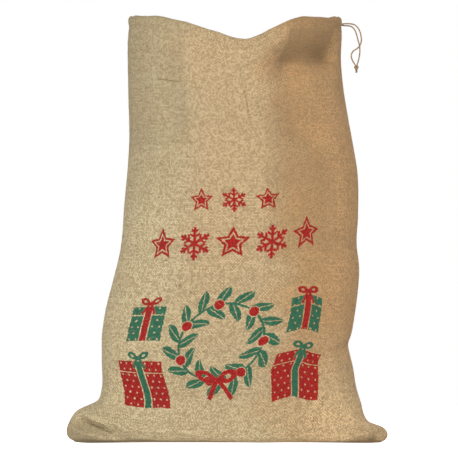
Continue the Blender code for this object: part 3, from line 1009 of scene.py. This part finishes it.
sack = {
    "panelWidth": 500.0,
    "clothThickness": 1.3,
    "seamGap": 0.06,
    "stitchBelowRim": 16.6,
    "ringSamples": 541,
    "columns": 150,
    "seamColumns": (0, 0.5, 1.1, 1.9, 3.0, 4.5, 6.5, 9.0),
    "gridStep": 3.0, "rowStep": 3.4,
    "seamGroove": 1.5, "seamGrooveWidth": 2.4, "seamStitch": 6.0,
    "dipReach": 260.0,                         # the weft lines are level this far below the rim
    "leftSeam": [                              # x, z from the bottom corner to the rim
        (-220, 2), (-228, 8), (-231, 16), (-227.5, 30), (-215, 48), (-199.5, 55),
        (-185.5, 63), (-182, 76),
        (-182.5, 120), (-183, 160), (-177, 200), (-168, 235), (-157, 281), (-151, 350),
        (-145.5, 412), (-144, 440), (-145.5, 520), (-145.5, 600), (-143, 625),
    ],
    "rightSeam": [
        (222, 1), (228, 4.5), (231, 10), (230.5, 17), (225, 23), (213.5, 27.5), (203, 32),
        (198, 41), (194, 56), (187, 82), (183.3, 110),
        (179, 131), (177, 143), (182, 158), (187, 184), (191, 212), (194, 259), (190.5, 290),
        (192.5, 330), (191, 404), (186.5, 431), (177, 484), (171, 523), (168, 560),
        (169, 608), (167, 625),
    ],
    "frontLine": [                             # y, z up the middle of the panel
        (0, 0), (-40, 4.6), (-80, 7.8), (-120, 8.8), (-144, 9.6), (-150.5, 12),
        (-153, 18), (-153, 27), (-151.5, 40), (-148, 58), (-143.5, 84), (-141, 118), (-142, 180),
        (-147, 280), (-151, 380), (-150, 480), (-147, 540), (-149, 569), (-140, 586),
    ],
    "backLine": [
        (0, 0), (40, 0.4), (92, 1), (117, 7), (131, 25), (138, 55), (143, 100), (148, 180),
        (151, 280), (152, 380), (150, 480), (147, 540), (147, 573), (143, 590),
    ],
    "sink": [                                  # share up, left start and end, right end and start
        (0.00, 0.00, 0.16, 0.84, 1.00), (0.15, 0.00, 0.26, 0.76, 1.00),
        (0.30, 0.02, 0.36, 0.66, 0.98), (0.80, 0.16, 0.50, 0.55, 0.76),
        (1.00, 0.20, 0.527, 0.53, 0.72),
    ],
    "earForward": 94.0, "earRoot": 100.0, "earTip": 228.0, "earCrest": 45.0, "earFade": 190.0,
    "seamHold": 0.03,
    "leastDepth": 5.0,                         # each panel stays this far from the middle
    "seamShare": [                             # share up the middle, share up the side seams
        (0, 0), (0.1, 0.018), (0.2, 0.045), (0.24, 0.1), (0.3, 0.19), (0.38, 0.31),
        (0.48, 0.45), (0.6, 0.59), (0.7, 0.7), (1, 1),
    ],
    "drop": {-1: 7.3, 1: 1.2},                 # each panel hangs this much lower than its seams
    "rimRise": [                               # share around the front, height added at the rim
        (0.0, 0), (0.1, 1.5), (0.15, -0.4), (0.2, -1.6), (0.25, -0.1), (0.3, 1.2),
        (0.35, 4.5), (0.4, 5.8), (0.45, 6.4), (0.5, 2.6), (0.53, 1.8), (0.56, 3.6),
        (0.6, 3.6), (0.65, -0.7), (0.7, -5.0), (0.75, -4.3), (0.8, -3.3), (0.85, -3.4),
        (0.9, 0), (0.95, -0.5), (1.0, 0),
    ],
    "rimRiseFrom": 0.78,
    "baseRise": [                              # x, height added low on the front
        (-190, 0), (-150, 1.5), (-131, 3), (-108, 2.6), (-85, 2), (-50, 1.5), (-10, 1),
        (30, 0.6), (130, 0.6), (170, 0),
    ],
    "baseRiseRows": (0.02, 0.12, 0.2, 0.34),   # shares up where it starts, holds and ends
    "frontFolds": [                            # x0, z0, x1, z1, width, out
        (-55, 600, -50, 450, 20, 4), (-84, 540, -80, 460, 18, -7),
        (54, 545, 58, 340, 20, 5), (100, 455, 116, 438, 20, -12), (88, 520, 94, 470, 20, -5),
        (108, 618, 70, 572, 15, 11), (168, 594, 140, 562, 22, -24),
        (140, 562, 86, 546, 19, -26), (128, 616, 165, 614, 18, 5),
        (-212, 46, -148, 11, 6, 13), (-209, 31, -160, 15, 8, -26),
        (222, 19, 206, 8, 5, -13), (206, 8, 182, 7, 5, -12),
    ],
    "backFolds": [
        (-70, 590, -48, 420, 26, 6), (80, 560, 62, 360, 30, 6),
        (-120, 120, -60, 60, 30, 4), (120, 300, 90, 120, 34, 5),
    ],
    "undulation": [(0.017, 1.6, 1), (0.045, 0.5, 2)],   # waves per mm, height, seed
}

hem = {
    # height above the stitches, depth of the outer and of the inner face of the cloth
    "turn": [
        (-2.4, 0.15, 1.45), (-1.2, 0.45, 1.75), (0.0, 0.65, 1.95), (1.2, 0.35, 1.65),
        (3.0, -0.3, 1.0), (5.0, -0.8, 0.5), (8.0, -1.0, 0.3), (11.0, -0.8, 0.5),
        (13.4, -0.1, 1.1), (15.2, 1.0, 2.1), (16.3, 2.2, 2.8), (16.6, 3.6, 3.7),
        (16.2, 5.0, 4.6), (15.0, 6.3, 5.4), (13.2, 7.3, 6.1), (11.0, 7.8, 6.5),
        (8.0, 8.0, 6.7), (5.0, 7.4, 6.1), (2.6, 5.8, 4.7), (0.6, 4.1, 2.9),
        (-1.2, 3.6, 2.3), (-3.2, 3.4, 2.1), (-5.6, 3.5, 2.2),
    ],
    # how much lower the inner face is than the outer one where the cloth turns over
    "turnInset": [
        0, 0, 0, 0, 0, 0, 0, 0, 0.3, 0.7, 1.1, 1.3, 1.1, 0.8, 0.5, 0.2, 0, -0.2, -0.6, -0.5,
        -0.1, 0, 0,
    ],
    "cordExit": 7.0,                           # the casing stops this far from the right seam
    # the folded corners stand up: share across, half width, up, out to the side
    "nubs": [(0.014, 0.017, 2.2, -1.3), (0.966, 0.020, 1.3, 1.0), (0.992, 0.008, 1.0, 0.6)],
}


def seamDepth(x, z):
    outToEar = smoothstep(sack["earRoot"], sack["earTip"], np.abs(x))
    lowDown = 1.0 - smoothstep(sack["earCrest"], sack["earFade"], z)
    return -sack["earForward"] * outToEar * lowDown


def foldRelief(folds, x, z):
    relief = np.zeros_like(x)
    for x0, z0, x1, z1, width, out in folds:
        runX, runZ = x1 - x0, z1 - z0
        along = np.clip(((x - x0) * runX + (z - z0) * runZ) / (runX**2 + runZ**2), 0.0, 1.0)
        gap = np.hypot(x - x0 - along * runX, z - z0 - along * runZ)
        relief += out * np.exp(-((gap / width) ** 2))
    return relief


def columnShares():
    edge = np.array(sack["seamColumns"]) / sack["panelWidth"]
    middle = np.linspace(edge[-1], 1 - edge[-1], sack["columns"])
    return np.concatenate((edge[:-1], middle, (1 - edge[:-1])[::-1]))


def inwardOf(grid, facing):
    # square to the cloth, and straight across from seam to seam at its two edges
    inward = unit(np.cross(np.gradient(grid, axis=1), np.gradient(grid, axis=0)) * facing)
    for column, toward in ((0, 1.0), (-1, -1.0)):
        edge = np.gradient(grid[:, column], axis=0)
        square = np.stack([edge[:, 2], np.zeros(len(edge)), -edge[:, 0]], axis=-1)
        inward[:, column] = unit(square) * toward
    return inward


def makePanel(facing):
    # the outer face on a grid of shares up and across, and its inward directions
    line = sack["frontLine"] if facing < 0 else sack["backLine"]
    folds = sack["frontFolds"] if facing < 0 else sack["backFolds"]
    height = lineLength(smoothLine(line, np.linspace(0, 1, 400)))
    ups = np.linspace(0.0, 1.0, round(height / sack["gridStep"]))
    across = columnShares()
    upSeam = np.interp(ups, *np.array(sack["seamShare"]).T)
    left, right = smoothLine(sack["leftSeam"], upSeam), smoothLine(sack["rightSeam"], upSeam)
    middle = smoothLine(line, ups)
    around = np.linspace(0.0, 1.0, sack["ringSamples"])
    bulge = np.sin(math.pi * around)
    table = np.array(sack["sink"])
    leftStart, leftEnd, rightEnd, rightStart = (
        np.interp(ups, table[:, 0], table[:, column])[:, None] for column in (1, 2, 3, 4))
    sunk = smoothstep(leftStart, leftEnd, around) * smoothstep(rightStart, rightEnd, around)
    x = (0.5 * (left[:, :1] + right[:, :1])
         - 0.5 * (right[:, :1] - left[:, :1]) * np.cos(math.pi * around))
    seamZ = left[:, 1:] + (right[:, 1:] - left[:, 1:]) * around
    z = seamZ + (middle[:, 1:] - seamZ) * sunk
    z = z - sack["drop"][facing] * bulge * smoothstep(0.0, 0.1, ups)[:, None]
    if facing < 0:
        rise = np.interp(around, *np.array(sack["rimRise"]).T)
        start, hold, fade, end = sack["baseRiseRows"]
        low = smoothstep(start, hold, ups) * (1 - smoothstep(fade, end, ups))
        z = (z + rise * smoothstep(sack["rimRiseFrom"], 1.0, ups)[:, None]
             + np.interp(x, *np.array(sack["baseRise"]).T) * low[:, None])
    z = np.maximum(z, 0.0)
    held = np.sqrt(np.maximum(bulge, 0)) * smoothstep(0.0, sack["seamHold"], ups)[:, None]
    # the least depth holds folds back from the other panel beside a seam
    depth = np.abs(middle[:, :1]) * bulge
    least = np.minimum(sack["leastDepth"], 0.3 * depth)
    depth = np.maximum(facing * middle[:, :1] * bulge + foldRelief(folds, x, z) * held, least)
    y = seamDepth(x, z) + facing * depth
    grid = np.stack([resample(np.stack(row, axis=-1), across) for row in zip(x, y, z)])

    inward = inwardOf(grid, facing)
    fromSeam = np.minimum(across, 1 - across) * sack["panelWidth"]
    free = smoothstep(4.0, 60.0, fromSeam)[None, :] * smoothstep(0.0, 0.2, ups)[:, None]
    free = free * (1 - 0.6 * smoothstep(0.93, 0.99, ups))[:, None]
    for scale, depth, seed in sack["undulation"]:
        grid = grid + inward * (perlin(grid, scale, seed) * depth * free)[..., None]
    # the seam draws the cloth in along a groove, tighter at each stitch
    stitchWave = 0.75 + 0.25 * np.cos(2 * math.pi * ups * height / sack["seamStitch"])
    groove = (sack["seamGroove"] * np.exp(-((fromSeam / sack["seamGrooveWidth"]) ** 2))[None, :]
              * stitchWave[:, None] * smoothstep(0.0, 0.02, ups)[:, None])
    grid = grid + inward * groove[..., None]
    grid[..., 1] += facing * sack["seamGap"] / 2
    grid[..., 2] = np.maximum(grid[..., 2], 0.0)
    # length along the cloth from the rim down, with weft lines that level out below the dip
    steps = np.linalg.norm(np.diff(grid, axis=0), axis=2)
    below = np.concatenate((np.cumsum(steps[::-1], axis=0)[::-1], np.zeros((1, len(across)))))
    dip = grid[-1, :, 2].max() - grid[-1, :, 2]
    clothV = height - below - dip * smoothstep(0.0, sack["dipReach"], below)
    return {"facing": facing, "height": height, "ups": ups, "across": across, "grid": grid,
            "inward": inwardOf(grid, facing), "clothV": clothV}


def between(panel, table, up):
    # one of the panel's tables at a share up
    spot = min(max(up, 0.0), 1.0) * (len(panel["ups"]) - 1)
    row = min(int(spot), len(panel["ups"]) - 2)
    part = spot - row
    return panel[table][row] * (1 - part) + panel[table][row + 1] * part


def clothLine(panel, up, depth, across=None):
    # a line across the cloth at a share up, moved inward by depth
    points = between(panel, "grid", up) + depth * unit(between(panel, "inward", up))
    if across is not None:
        points = np.stack([np.interp(across, panel["across"], column) for column in points.T],
                          axis=-1)
    if depth > 0:
        middle = seamDepth(points[:, 0], points[:, 2])
        reach = np.maximum(panel["facing"] * (points[:, 1] - middle), sack["seamGap"] / 2)
        points[:, 1] = middle + panel["facing"] * reach
    points[:, 2] = np.maximum(points[:, 2], 0.0)
    return points


def hemShares(across, height):
    # the casing's right end is cut back so that the cord can come out
    cut = hem["cordExit"] * smoothstep(0.0, 4.0, height) / sack["panelWidth"]
    zone = 0.06
    near = np.clip((across - (1 - zone)) / zone, 0.0, 1.0)
    return across - near * cut


def liftNubs(points, across, above):
    rise = smoothstep(1.0, 12.0, above)
    for middle, half, up, out in hem["nubs"]:
        bump = np.exp(-((across - middle) / half) ** 2) * rise
        points[:, 2] += up * bump
        points[:, 0] += out * bump
    return points


def panelMesh(name, panel, material):
    height, across = panel["height"], panel["across"]
    thickness = sack["clothThickness"]
    topOfWall = 1.0 - (sack["stitchBelowRim"] + 4.0) / height
    near = np.array([0, 0.6, 1.4, 2.6, 4.2, 6.5]) / height
    body = np.linspace(near[-1], topOfWall,
                       round((topOfWall - near[-1]) * height / sack["rowStep"]))
    rows = list(near[:-1]) + list(body)
    outer = [clothLine(panel, up, 0.0) for up in rows]
    inner = [clothLine(panel, up, thickness) for up in rows]
    lengths = [between(panel, "clothV", up) for up in rows]
    rim = 1.0 - sack["stitchBelowRim"] / height
    travelled, before = 0.0, None
    for (above, outerDepth, innerDepth), inset in zip(hem["turn"], hem["turnInset"]):
        shares = hemShares(across, above)
        outer.append(liftNubs(clothLine(panel, rim + above / height, outerDepth, shares),
                              across, above))
        inner.append(liftNubs(clothLine(panel, rim + (above - inset) / height, innerDepth,
                                        shares), across, above))
        if before is None:
            travelled = between(panel, "clothV", rim) + above
        else:
            travelled = travelled + math.hypot(above - before[0], outerDepth - before[1])
        before = (above, outerDepth)
        lengths.append(travelled)
    rowCount, columns = len(outer), len(across)
    points = np.concatenate(outer + inner[::-1])
    v = np.concatenate(lengths + lengths[::-1]) * mm
    u = across * sack["panelWidth"] * mm
    uv = np.stack([np.tile(u, 2 * rowCount), v], axis=-1)
    faces = []
    ringCount = 2 * rowCount
    for ring in range(ringCount):
        above = (ring + 1) % ringCount
        for column in range(columns - 1):
            faces.append((ring * columns + column, ring * columns + column + 1,
                          above * columns + column + 1, above * columns + column))
    for column, flip in ((0, True), (columns - 1, False)):
        for row in range(rowCount - 1):
            loop = (row * columns + column, (row + 1) * columns + column,
                    (ringCount - 2 - row) * columns + column,
                    (ringCount - 1 - row) * columns + column)
            faces.append(loop if flip else loop[::-1])
    faces = outward(points, faces)
    piece = addMesh(name, points, faces, uv, "cloth", material)
    printedSide = piece.data.attributes.new("outerFace", "FLOAT", "POINT")
    printedSide.data.foreach_set("value", np.repeat([1.0, 0.0], rowCount * columns))
    piece.data.set_sharp_from_angle(angle=math.radians(60))
    return piece


frontPanel = makePanel(-1.0)
backPanel = makePanel(1.0)
frontPiece = panelMesh("frontPanel", frontPanel, printedBurlap)
backPiece = panelMesh("backPanel", backPanel, plainBurlap)
print("stage: panels", len(frontPiece.data.polygons), len(backPiece.data.polygons))


# the drawcord's run through the casing

def casingCord():
    height, depth = drawcord["casingHeight"], drawcord["casingDepth"]
    shares = hemShares(np.linspace(0, 1, 120), height)
    fit = []
    for panel in (frontPanel, backPanel):
        rim = 1.0 - sack["stitchBelowRim"] / panel["height"]
        fit.append(clothLine(panel, rim + height / panel["height"], depth, shares))
    left = 0.5 * (fit[0][0] + fit[1][0])
    route = np.concatenate((fit[0][::-1][:-1], [left], fit[1][1:]))
    fine = resample(route, np.linspace(0, 1, 620))
    tube = twistedTube(fine, drawcord["diameter"], drawcord["casingSides"],
                       drawcord["twistPitch"], drawcord["plyDepth"])
    return addMesh("drawcordCasing", *mergeParts([tube]), "yarn", juteTwine)


casingPiece = casingCord()
print("stage: casing cord")


# stitches, seam allowances and stray fibres

stitching = {
    "hemStitches": (6.0, 4.3, 1.15),           # pitch, length, width
    "seamStitches": (5.5, 3.2, 0.8),
    "overlockLoops": (3.4, 5.4, 0.45),
    "hemSpan": (0.006, 0.992), "hemSink": 0.28,
    "wobble": 0.12,
    "allowance": 11.0, "plyThickness": 1.3, "plyGap": 0.5,
    "allowanceFoot": 96.0,                     # height where the inner flaps start
    "allowanceInset": 3.0,                     # from the seam to the flap's root
    "seamFoot": 60.0, "seamTop": 18.0,         # height of the first stitch, last one below the rim
    "fibresPerSquareMetre": 1500.0, "fibreLength": 8.0, "fibreRadius": 0.085,
    "fibreFloor": 14.0,                        # no hairs start below this height
}


def geometryTree(name, **inputs):
    tree = bpy.data.node_groups.new(name, "GeometryNodeTree")
    kinds = {"Geometry": "Geometry", **inputs, "Material": "Material"}
    for label, kind in kinds.items():
        tree.interface.new_socket(label, in_out="INPUT", socket_type="NodeSocket" + kind)
    tree.interface.new_socket("Geometry", in_out="OUTPUT", socket_type="NodeSocketGeometry")
    return tree, termsOf(tree.nodes.new("NodeGroupInput").outputs)


def finishTree(tree, instances, material):
    real = addNode(tree, "GeometryNodeRealizeInstances", Geometry=instances)
    smooth = addNode(tree, "GeometryNodeSetShadeSmooth", Geometry=real)
    painted = addNode(tree, "GeometryNodeSetMaterial", Geometry=smooth, Material=material)
    addNode(tree, "NodeGroupOutput", Geometry=painted)
    return tree


def circle(tree, sides, radius):
    return addNode(tree, "GeometryNodeCurvePrimitiveCircle", Resolution=sides, Radius=radius)


def randomNode(tree, low, high, seed, kind="FLOAT_VECTOR"):
    return addNode(tree, "FunctionNodeRandomValue", {"data_type": kind},
                   Min=low, Max=high, Seed=seed)


def stitchShape(tree, given):
    # a plump spindle of yarn, half sunk in the cloth
    ball = addNode(tree, "GeometryNodeMeshUVSphere", Segments=8, Rings=6, Radius=0.5)
    size = join(given["Length"], given["Width"], given["Width"] * 0.85)
    return addNode(tree, "GeometryNodeTransform", Geometry=ball, Scale=size)


def loopShape(tree, given):
    # a loop of yarn round the edge of the cloth
    mesh = addNode(tree, "GeometryNodeCurveToMesh", Curve=circle(tree, 12, given["Length"] * 0.5),
                   ProfileCurve=circle(tree, 4, given["Width"] * 0.5))
    return addNode(tree, "GeometryNodeTransform", Geometry=mesh,
                   Rotation=(math.radians(90), 0, math.radians(78)), Scale=(1.0, 0.62, 1.0))


def runTree(name, shape):
    # one shape at even steps along a line, its length laid along the line's own direction
    tree, given = geometryTree(name, Pitch="Float", Length="Float", Width="Float",
                               Wobble="Float", Seed="Int")
    line = addNode(tree, "GeometryNodeMeshToCurve", Mesh=given["Geometry"])
    steps = addNode(tree, "GeometryNodeResampleCurve", {"mode": "LENGTH"}, Curve=line,
                    Length=given["Pitch"])
    turns = {}
    for label, axis, pivot in (("along", "X", "AUTO"), ("square", "Z", "X")):
        direction = addNode(tree, "GeometryNodeInputNamedAttribute",
                            {"data_type": "FLOAT_VECTOR"}, Name=label)
        turn = addNode(tree, "FunctionNodeAlignRotationToVector",
                       {"axis": axis, "pivot_axis": pivot}, Vector=direction, **turns)
        turns = {"Rotation": turn}
    spread = join(given["Wobble"] * 0.5, given["Wobble"] * 0.5, given["Wobble"])
    flip = addNode(tree, "ShaderNodeVectorMath", {"operation": "SCALE"}, Vector=spread, Scale=-1.0)
    angles = addNode(tree, "FunctionNodeEulerToRotation",
                     Euler=randomNode(tree, flip, spread, given["Seed"]))
    turned = addNode(tree, "FunctionNodeRotateRotation", {"rotation_space": "LOCAL"},
                     RotateBy=angles, **turns)
    instances = addNode(tree, "GeometryNodeInstanceOnPoints", Points=steps,
                        Instance=shape(tree, given), Rotation=turned)
    return finishTree(tree, instances, given["Material"])


def fibreTree():
    # short curled hairs that stand a little off the cloth
    tree, given = geometryTree("strayFibres", Density="Float", Length="Float", Radius="Float",
                               Floor="Float", Seed="Int")
    height = split(Term(tree.nodes.new("GeometryNodeInputPosition").outputs[0]))[2]
    spots = addNode(tree, "GeometryNodeDistributePointsOnFaces", Mesh=given["Geometry"],
                    Selection=height.math("GREATER_THAN", given["Floor"]),
                    Density=given["Density"], Seed=given["Seed"])
    length = given["Length"]
    hair = addNode(tree, "GeometryNodeCurveQuadraticBezier", Resolution=6,
                   Start=(0.0, 0.0, -0.0003), End=join(length, length * 0.55, 0.0002),
                   Middle=join(length * 0.6, length * 0.1, length * 0.26))
    mesh = addNode(tree, "GeometryNodeCurveToMesh", Curve=hair, FillCaps=True,
                   ProfileCurve=circle(tree, 3, given["Radius"]))
    size = randomNode(tree, 0.35, 1.3, given["Seed"], "FLOAT")
    instances = addNode(tree, "GeometryNodeInstanceOnPoints", Points=spots, Instance=mesh,
                        Rotation=spots.outputs["Rotation"], Scale=size.outputs[1])
    spin = addNode(tree, "FunctionNodeEulerToRotation",
                   Euler=randomNode(tree, (0, 0, 0), (0, 0, 6.283), given["Seed"]))
    turned = addNode(tree, "GeometryNodeRotateInstances", Instances=instances, Rotation=spin)
    return finishTree(tree, turned, given["Material"])


def growPiece(name, source, tree, material, **values):
    # run a geometry tree on an object and keep only the mesh that it makes
    modifier = source.modifiers.new("grow", "NODES")
    modifier.node_group = tree
    values["Material"] = material
    for item in tree.interface.items_tree:
        if item.in_out == "INPUT" and item.name in values:
            modifier[item.identifier] = values[item.name]
    shaped = source.evaluated_get(bpy.context.evaluated_depsgraph_get())
    mesh = bpy.data.meshes.new_from_object(shaped)
    mesh.name = name
    source.modifiers.remove(modifier)
    piece = bpy.data.objects.new(name, mesh)
    bpy.context.collection.objects.link(piece)
    return piece


def guideLines(runs):
    # polylines in millimetres with the directions that stitches lie along and face
    points, along, square, edges = [], [], [], []
    for line, lineAlong, lineSquare in runs:
        start = sum(map(len, points))
        edges += [(start + index, start + index + 1) for index in range(len(line) - 1)]
        points.append(line)
        along.append(lineAlong)
        square.append(lineSquare)
    mesh = bpy.data.meshes.new("guide")
    mesh.from_pydata((np.concatenate(points) * mm).tolist(), edges, [])
    for label, values in (("along", along), ("square", square)):
        layer = mesh.attributes.new(label, "FLOAT_VECTOR", "POINT")
        layer.data.foreach_set("vector", np.concatenate(values).astype(np.float32).ravel())
    guide = bpy.data.objects.new("guide", mesh)
    bpy.context.collection.objects.link(guide)
    return guide


def directions(line):
    return unit(np.gradient(line, axis=0))


def hemRuns():
    runs = []
    for panel in (frontPanel, backPanel):
        rim = 1.0 - sack["stitchBelowRim"] / panel["height"]
        shares = np.linspace(*stitching["hemSpan"], 260)
        face = clothLine(panel, rim, stitching["hemSink"], shares)
        below = clothLine(panel, rim - 4.0 / panel["height"], stitching["hemSink"], shares)
        along = directions(face)
        runs.append((face, along, unit(np.cross(along, face - below) * -panel["facing"])))
    return runs


def seamLine(side):
    # up one side seam from above the ear to the hem
    column = 0 if side < 0 else -1
    line = frontPanel["grid"][:, column]
    height = line[:, 2]
    keep = (height > stitching["seamFoot"]) & (height < height[-1] - stitching["seamTop"])
    return resample(line[keep], np.linspace(0, 1, 200))


def seamRuns():
    runs = []
    for side in (-1.0, 1.0):
        line = seamLine(side) + (side * -0.9, 0, 0)
        count = len(line)
        runs.append((line, np.tile((0.0, 1.0, 0.25), (count, 1)),
                     np.tile((side, 0.0, 0.0), (count, 1))))
    return runs


def allowanceParts():
    # two plies of cloth that stand inward from each side seam
    parts, edges = [], []
    reach, half = stitching["allowance"], stitching["plyThickness"] / 2
    inset = stitching["allowanceInset"]
    section = [(0.0, -half), (reach * 0.5, -half), (reach - 0.5, -half), (reach, 0.0),
               (reach - 0.5, half), (reach * 0.5, half), (0.0, half)]
    for side in (-1.0, 1.0):
        line = seamLine(side)
        line = line[line[:, 2] > stitching["allowanceFoot"]]
        line = resample(line, np.linspace(0, 1, 130))
        flap = perlin(line * (1, 0, 1), 0.02, 5) * 3.0
        for ply in (-1.0, 1.0):
            shift = ply * (half + stitching["plyGap"] / 2)
            points, uv = [], []
            for index, spot in enumerate(line):
                for out, thick in section:
                    sway = flap[index] * (out / reach) ** 2
                    points.append(spot + (side * -(inset + out), shift + thick + sway, 0.0))
                    uv.append((0.3 + out * mm, spot[2] * mm))
            faces = tubeFaces(len(line), len(section))
            parts.append((np.array(points), faces, np.array(uv)))
        edge = line + np.stack([np.full(len(line), side * -(inset + reach - 1.2)),
                                flap * 0.8, np.zeros(len(line))], axis=-1)
        count = len(edge)
        edges.append((edge, np.tile((side, 0.0, 0.0), (count, 1)),
                      np.tile((0.0, 0.0, 1.0), (count, 1))))
    return parts, edges


allowanceShapes, edgeRuns = allowanceParts()
allowances = addMesh("seamAllowances", *mergeParts(allowanceShapes), "cloth", plainBurlap)
spindles, loops = runTree("stitchRun", stitchShape), runTree("loopRun", loopShape)
hairs = fibreTree()
sewn = []
for name, runs, tree in (("hemStitches", hemRuns(), spindles),
                         ("seamStitches", seamRuns(), spindles),
                         ("overlockLoops", edgeRuns, loops)):
    guide = guideLines(runs)
    pitch, length, width = (size * mm for size in stitching[name])
    sewn.append(growPiece(name, guide, tree, sewingYarn, Pitch=pitch, Length=length,
                          Width=width, Wobble=stitching["wobble"], Seed=4))
    bpy.data.objects.remove(guide)
fibres = [growPiece(name, source, hairs, strayJute, Seed=seed,
                    Density=stitching["fibresPerSquareMetre"],
                    Length=stitching["fibreLength"] * mm, Radius=stitching["fibreRadius"] * mm,
                    Floor=stitching["fibreFloor"] * mm)
          for name, source, seed in (("frontFibres", frontPiece, 3), ("backFibres", backPiece, 8))]
print("stage: sewing and fibres", [len(piece.data.polygons) for piece in (*sewn, *fibres)])


# riding, slots and declarations

for piece, node, slotName in (
        (frontPiece, "front_panel", "burlap"), (backPiece, "back_panel", "burlap"),
        (casingPiece, "drawcord_casing", "twine"), (frontEnd, "drawcord_front_end", "twine"),
        (backEnd, "drawcord_back_end", "twine"), (knot, "drawcord_knot", "twine")):
    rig.ride(piece, "root")
    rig.replaces(piece, node)
    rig.slot(piece, slotName)

for piece, route, length, extra in ((frontEnd, drawcord["frontEnd"], frontLength, [knot]),
                                    (backEnd, drawcord["backEnd"], backLength, [])):
    path = smoothLine(route, np.linspace(0, 1, 36)) * mm
    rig.cord(piece, exit=path[0], length=length, diameter=drawcord["diameter"] * mm,
            far_end="knot", stiffness="limp", lay="hanging", path=path, with_pieces=extra)

for piece in (allowances, *sewn, *fibres):
    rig.ride(piece, "root")
    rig.slot(piece, "burlap")

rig.sheet(frontPiece, flat=(0.50, 0.72), held="draped",
         with_pieces=[allowances, *sewn, fibres[0]])
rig.sheet(backPiece, flat=(0.50, 0.72), held="draped", with_pieces=[fibres[1]])

newLow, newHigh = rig.bounds()
with open("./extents.json", "w") as sizeFile:
    json.dump({"cad": [list(cadLow), list(cadHigh)], "visual": [list(newLow), list(newHigh)]},
              sizeFile)
print("stage: sizes", [round(v, 4) for v in (*newLow, *newHigh)])
